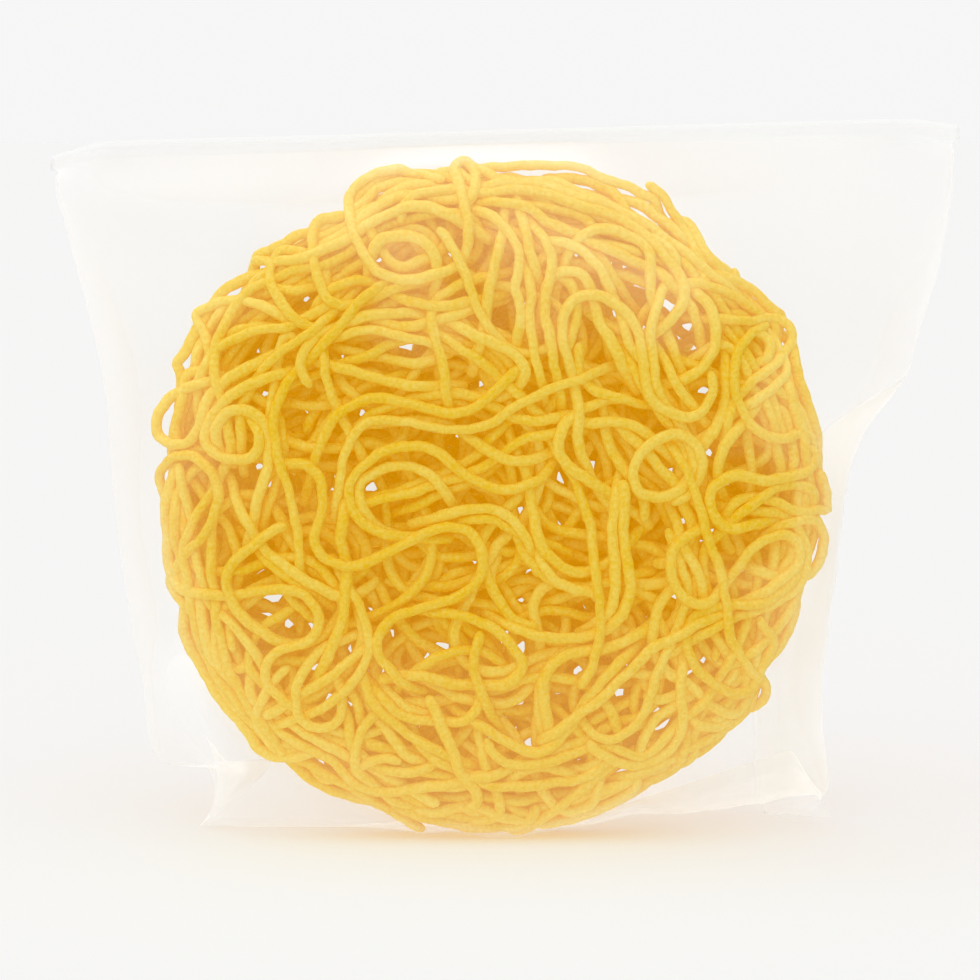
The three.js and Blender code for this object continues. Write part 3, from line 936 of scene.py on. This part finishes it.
film_rows, film_columns = film.shape[:2]
bag_bm = bmesh.new()
bmesh.ops.create_grid(bag_bm, x_segments=film_columns, y_segments=film_rows - 1, size=0.5)
weld_mark = bag_bm.verts.layers.float.new("weld")
edge_mark = bag_bm.verts.layers.float.new("edge")
oil_mark = bag_bm.verts.layers.float.new("oil")
for vert in bag_bm.verts:
    column = round((vert.co.x + 0.5) * film_columns) % film_columns
    row = round((vert.co.y + 0.5) * (film_rows - 1))
    up_flat = row * flat_height / (film_rows - 1)
    vert[weld_mark] = float(up_flat < foot_weld_width or up_flat > flat_height - weld_width)
    vert[edge_mark] = float(row == film_rows - 1)
    vert.co = Vector(film[row, column]) * MM
    off_middle = math.hypot(vert.co.x - cake_middle.x, vert.co.z - cake_middle.z)
    vert[oil_mark] = min(max((oiled_reach - off_middle) / oiled_fade, 0.0), 1.0) * (vert.co.y > 0)
bmesh.ops.remove_doubles(bag_bm, verts=[v for v in bag_bm.verts if len(v.link_faces) < 4], dist=1e-6)
bmesh.ops.recalc_face_normals(bag_bm, faces=bag_bm.faces)
for face in bag_bm.faces:
    face.smooth = True
bag_mesh = bpy.data.meshes.new("clear_bag")
bag_bm.to_mesh(bag_mesh)
bag_bm.free()
clear_bag = put_in_scene("clear_bag", bag_mesh)


def clear_film():
    """Clear film, mirrored where it is seen aslant. It mirrors sharply where the cake draws it
    tight, and blurred where it hangs slack. Its welds are a little matt, and the top weld's cut
    edge has a painted highlight: it glows a little. Frying oil wets the film where the cake's
    rear face presses on it."""
    film_colour = (0.997, 0.995, 0.987, 1.0)
    oiled_colour = (1.0, 0.97, 0.92, 1.0)
    oiled_mirror = 0.5  # oil takes away half of the mirroring of the face that it wets
    film_ior = 1.47
    film_double = 1.9  # both faces of the film mirror a little
    most_mirrored = 0.16
    tight_roughness, slack_roughness = 0.11, 0.75
    tight_to_slack = (0.068, 0.082)  # how far out from the cake's middle the film turns slack
    haze_colour = (0.97, 0.96, 0.95, 1.0)
    weld_haze = 0.05
    # Painted highlight: the top weld's cut edge glows in this colour, as if it caught the light.
    painted_edge_colour = (1.0, 1.0, 0.99, 1.0)
    painted_edge_shine = 0.3

    stuff, sheet = new_material("clear_film")
    where = add_node(sheet, "TexCoord", {}).outputs["Object"]
    weld, cut_edge, oil = (
        add_node(sheet, "Attribute", {}, attribute_name=mark).outputs["Fac"]
        for mark in ("weld", "edge", "oil")
    )

    ripple = add_node(sheet, "TexNoise", {"Vector": where, "Scale": 45.0, "Detail": 2.0})
    rippled = add_node(sheet, "Bump", {"Strength": 0.15, "Distance": 0.002, "Height": ripple.outputs["Fac"]})
    from_middle = add_node(sheet, "VectorMath", {0: where, 1: cake_middle}, operation="SUBTRACT")
    flat_on = add_node(
        sheet, "VectorMath", {0: from_middle.outputs["Vector"], 1: (1.0, 0.0, 1.0)}, operation="MULTIPLY"
    )
    how_far = add_node(sheet, "VectorMath", {0: flat_on.outputs["Vector"]}, operation="LENGTH")
    blur = add_range(
        sheet, how_far.outputs["Value"], *tight_to_slack, tight_roughness, slack_roughness, ease="LINEAR"
    )
    gloss = sheet.nodes["Principled BSDF"]
    set_inputs(sheet, gloss, {
        "Base Color": (1.0, 1.0, 1.0, 1.0),
        "Metallic": 1.0,
        "Roughness": blur,
        "Normal": rippled.outputs["Normal"],
    })

    tint = add_node(sheet, "Mix", {"A": film_colour, "B": oiled_colour, "Factor": oil}, data_type="RGBA")
    through = add_node(sheet, "BsdfTransparent", {"Color": tint.outputs["Result"]})
    slant = add_node(sheet, "Fresnel", {"IOR": film_ior}).outputs["Fac"]
    both_faces = add_range(sheet, slant, 0.0, most_mirrored / film_double, 0.0, most_mirrored, ease="LINEAR")
    unwetted = add_range(sheet, oil, 0.0, 1.0, 1.0, oiled_mirror, ease="LINEAR")
    haze = add_node(sheet, "BsdfDiffuse", {"Color": haze_colour})
    # The cut edge's painted highlight is an emission, not a reflection.
    painted_edge_glow = add_node(sheet, "Emission", {"Color": painted_edge_colour})
    look = through.outputs["BSDF"]
    for share, laid_over in (
        (add_math(sheet, "MULTIPLY", both_faces, unwetted), gloss.outputs["BSDF"]),
        (add_math(sheet, "MULTIPLY", weld, weld_haze), haze.outputs["BSDF"]),
        (add_math(sheet, "MULTIPLY", cut_edge, painted_edge_shine), painted_edge_glow.outputs["Emission"]),
    ):
        look = add_node(sheet, "MixShader", {"Fac": share, 1: look, 2: laid_over}).outputs["Shader"]
    sheet.links.new(look, sheet.nodes["Material Output"].inputs["Surface"])
    return stuff


bag_mesh.materials.append(clear_film())
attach(clear_bag, "root")
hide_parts("sealed_noodle_bag")
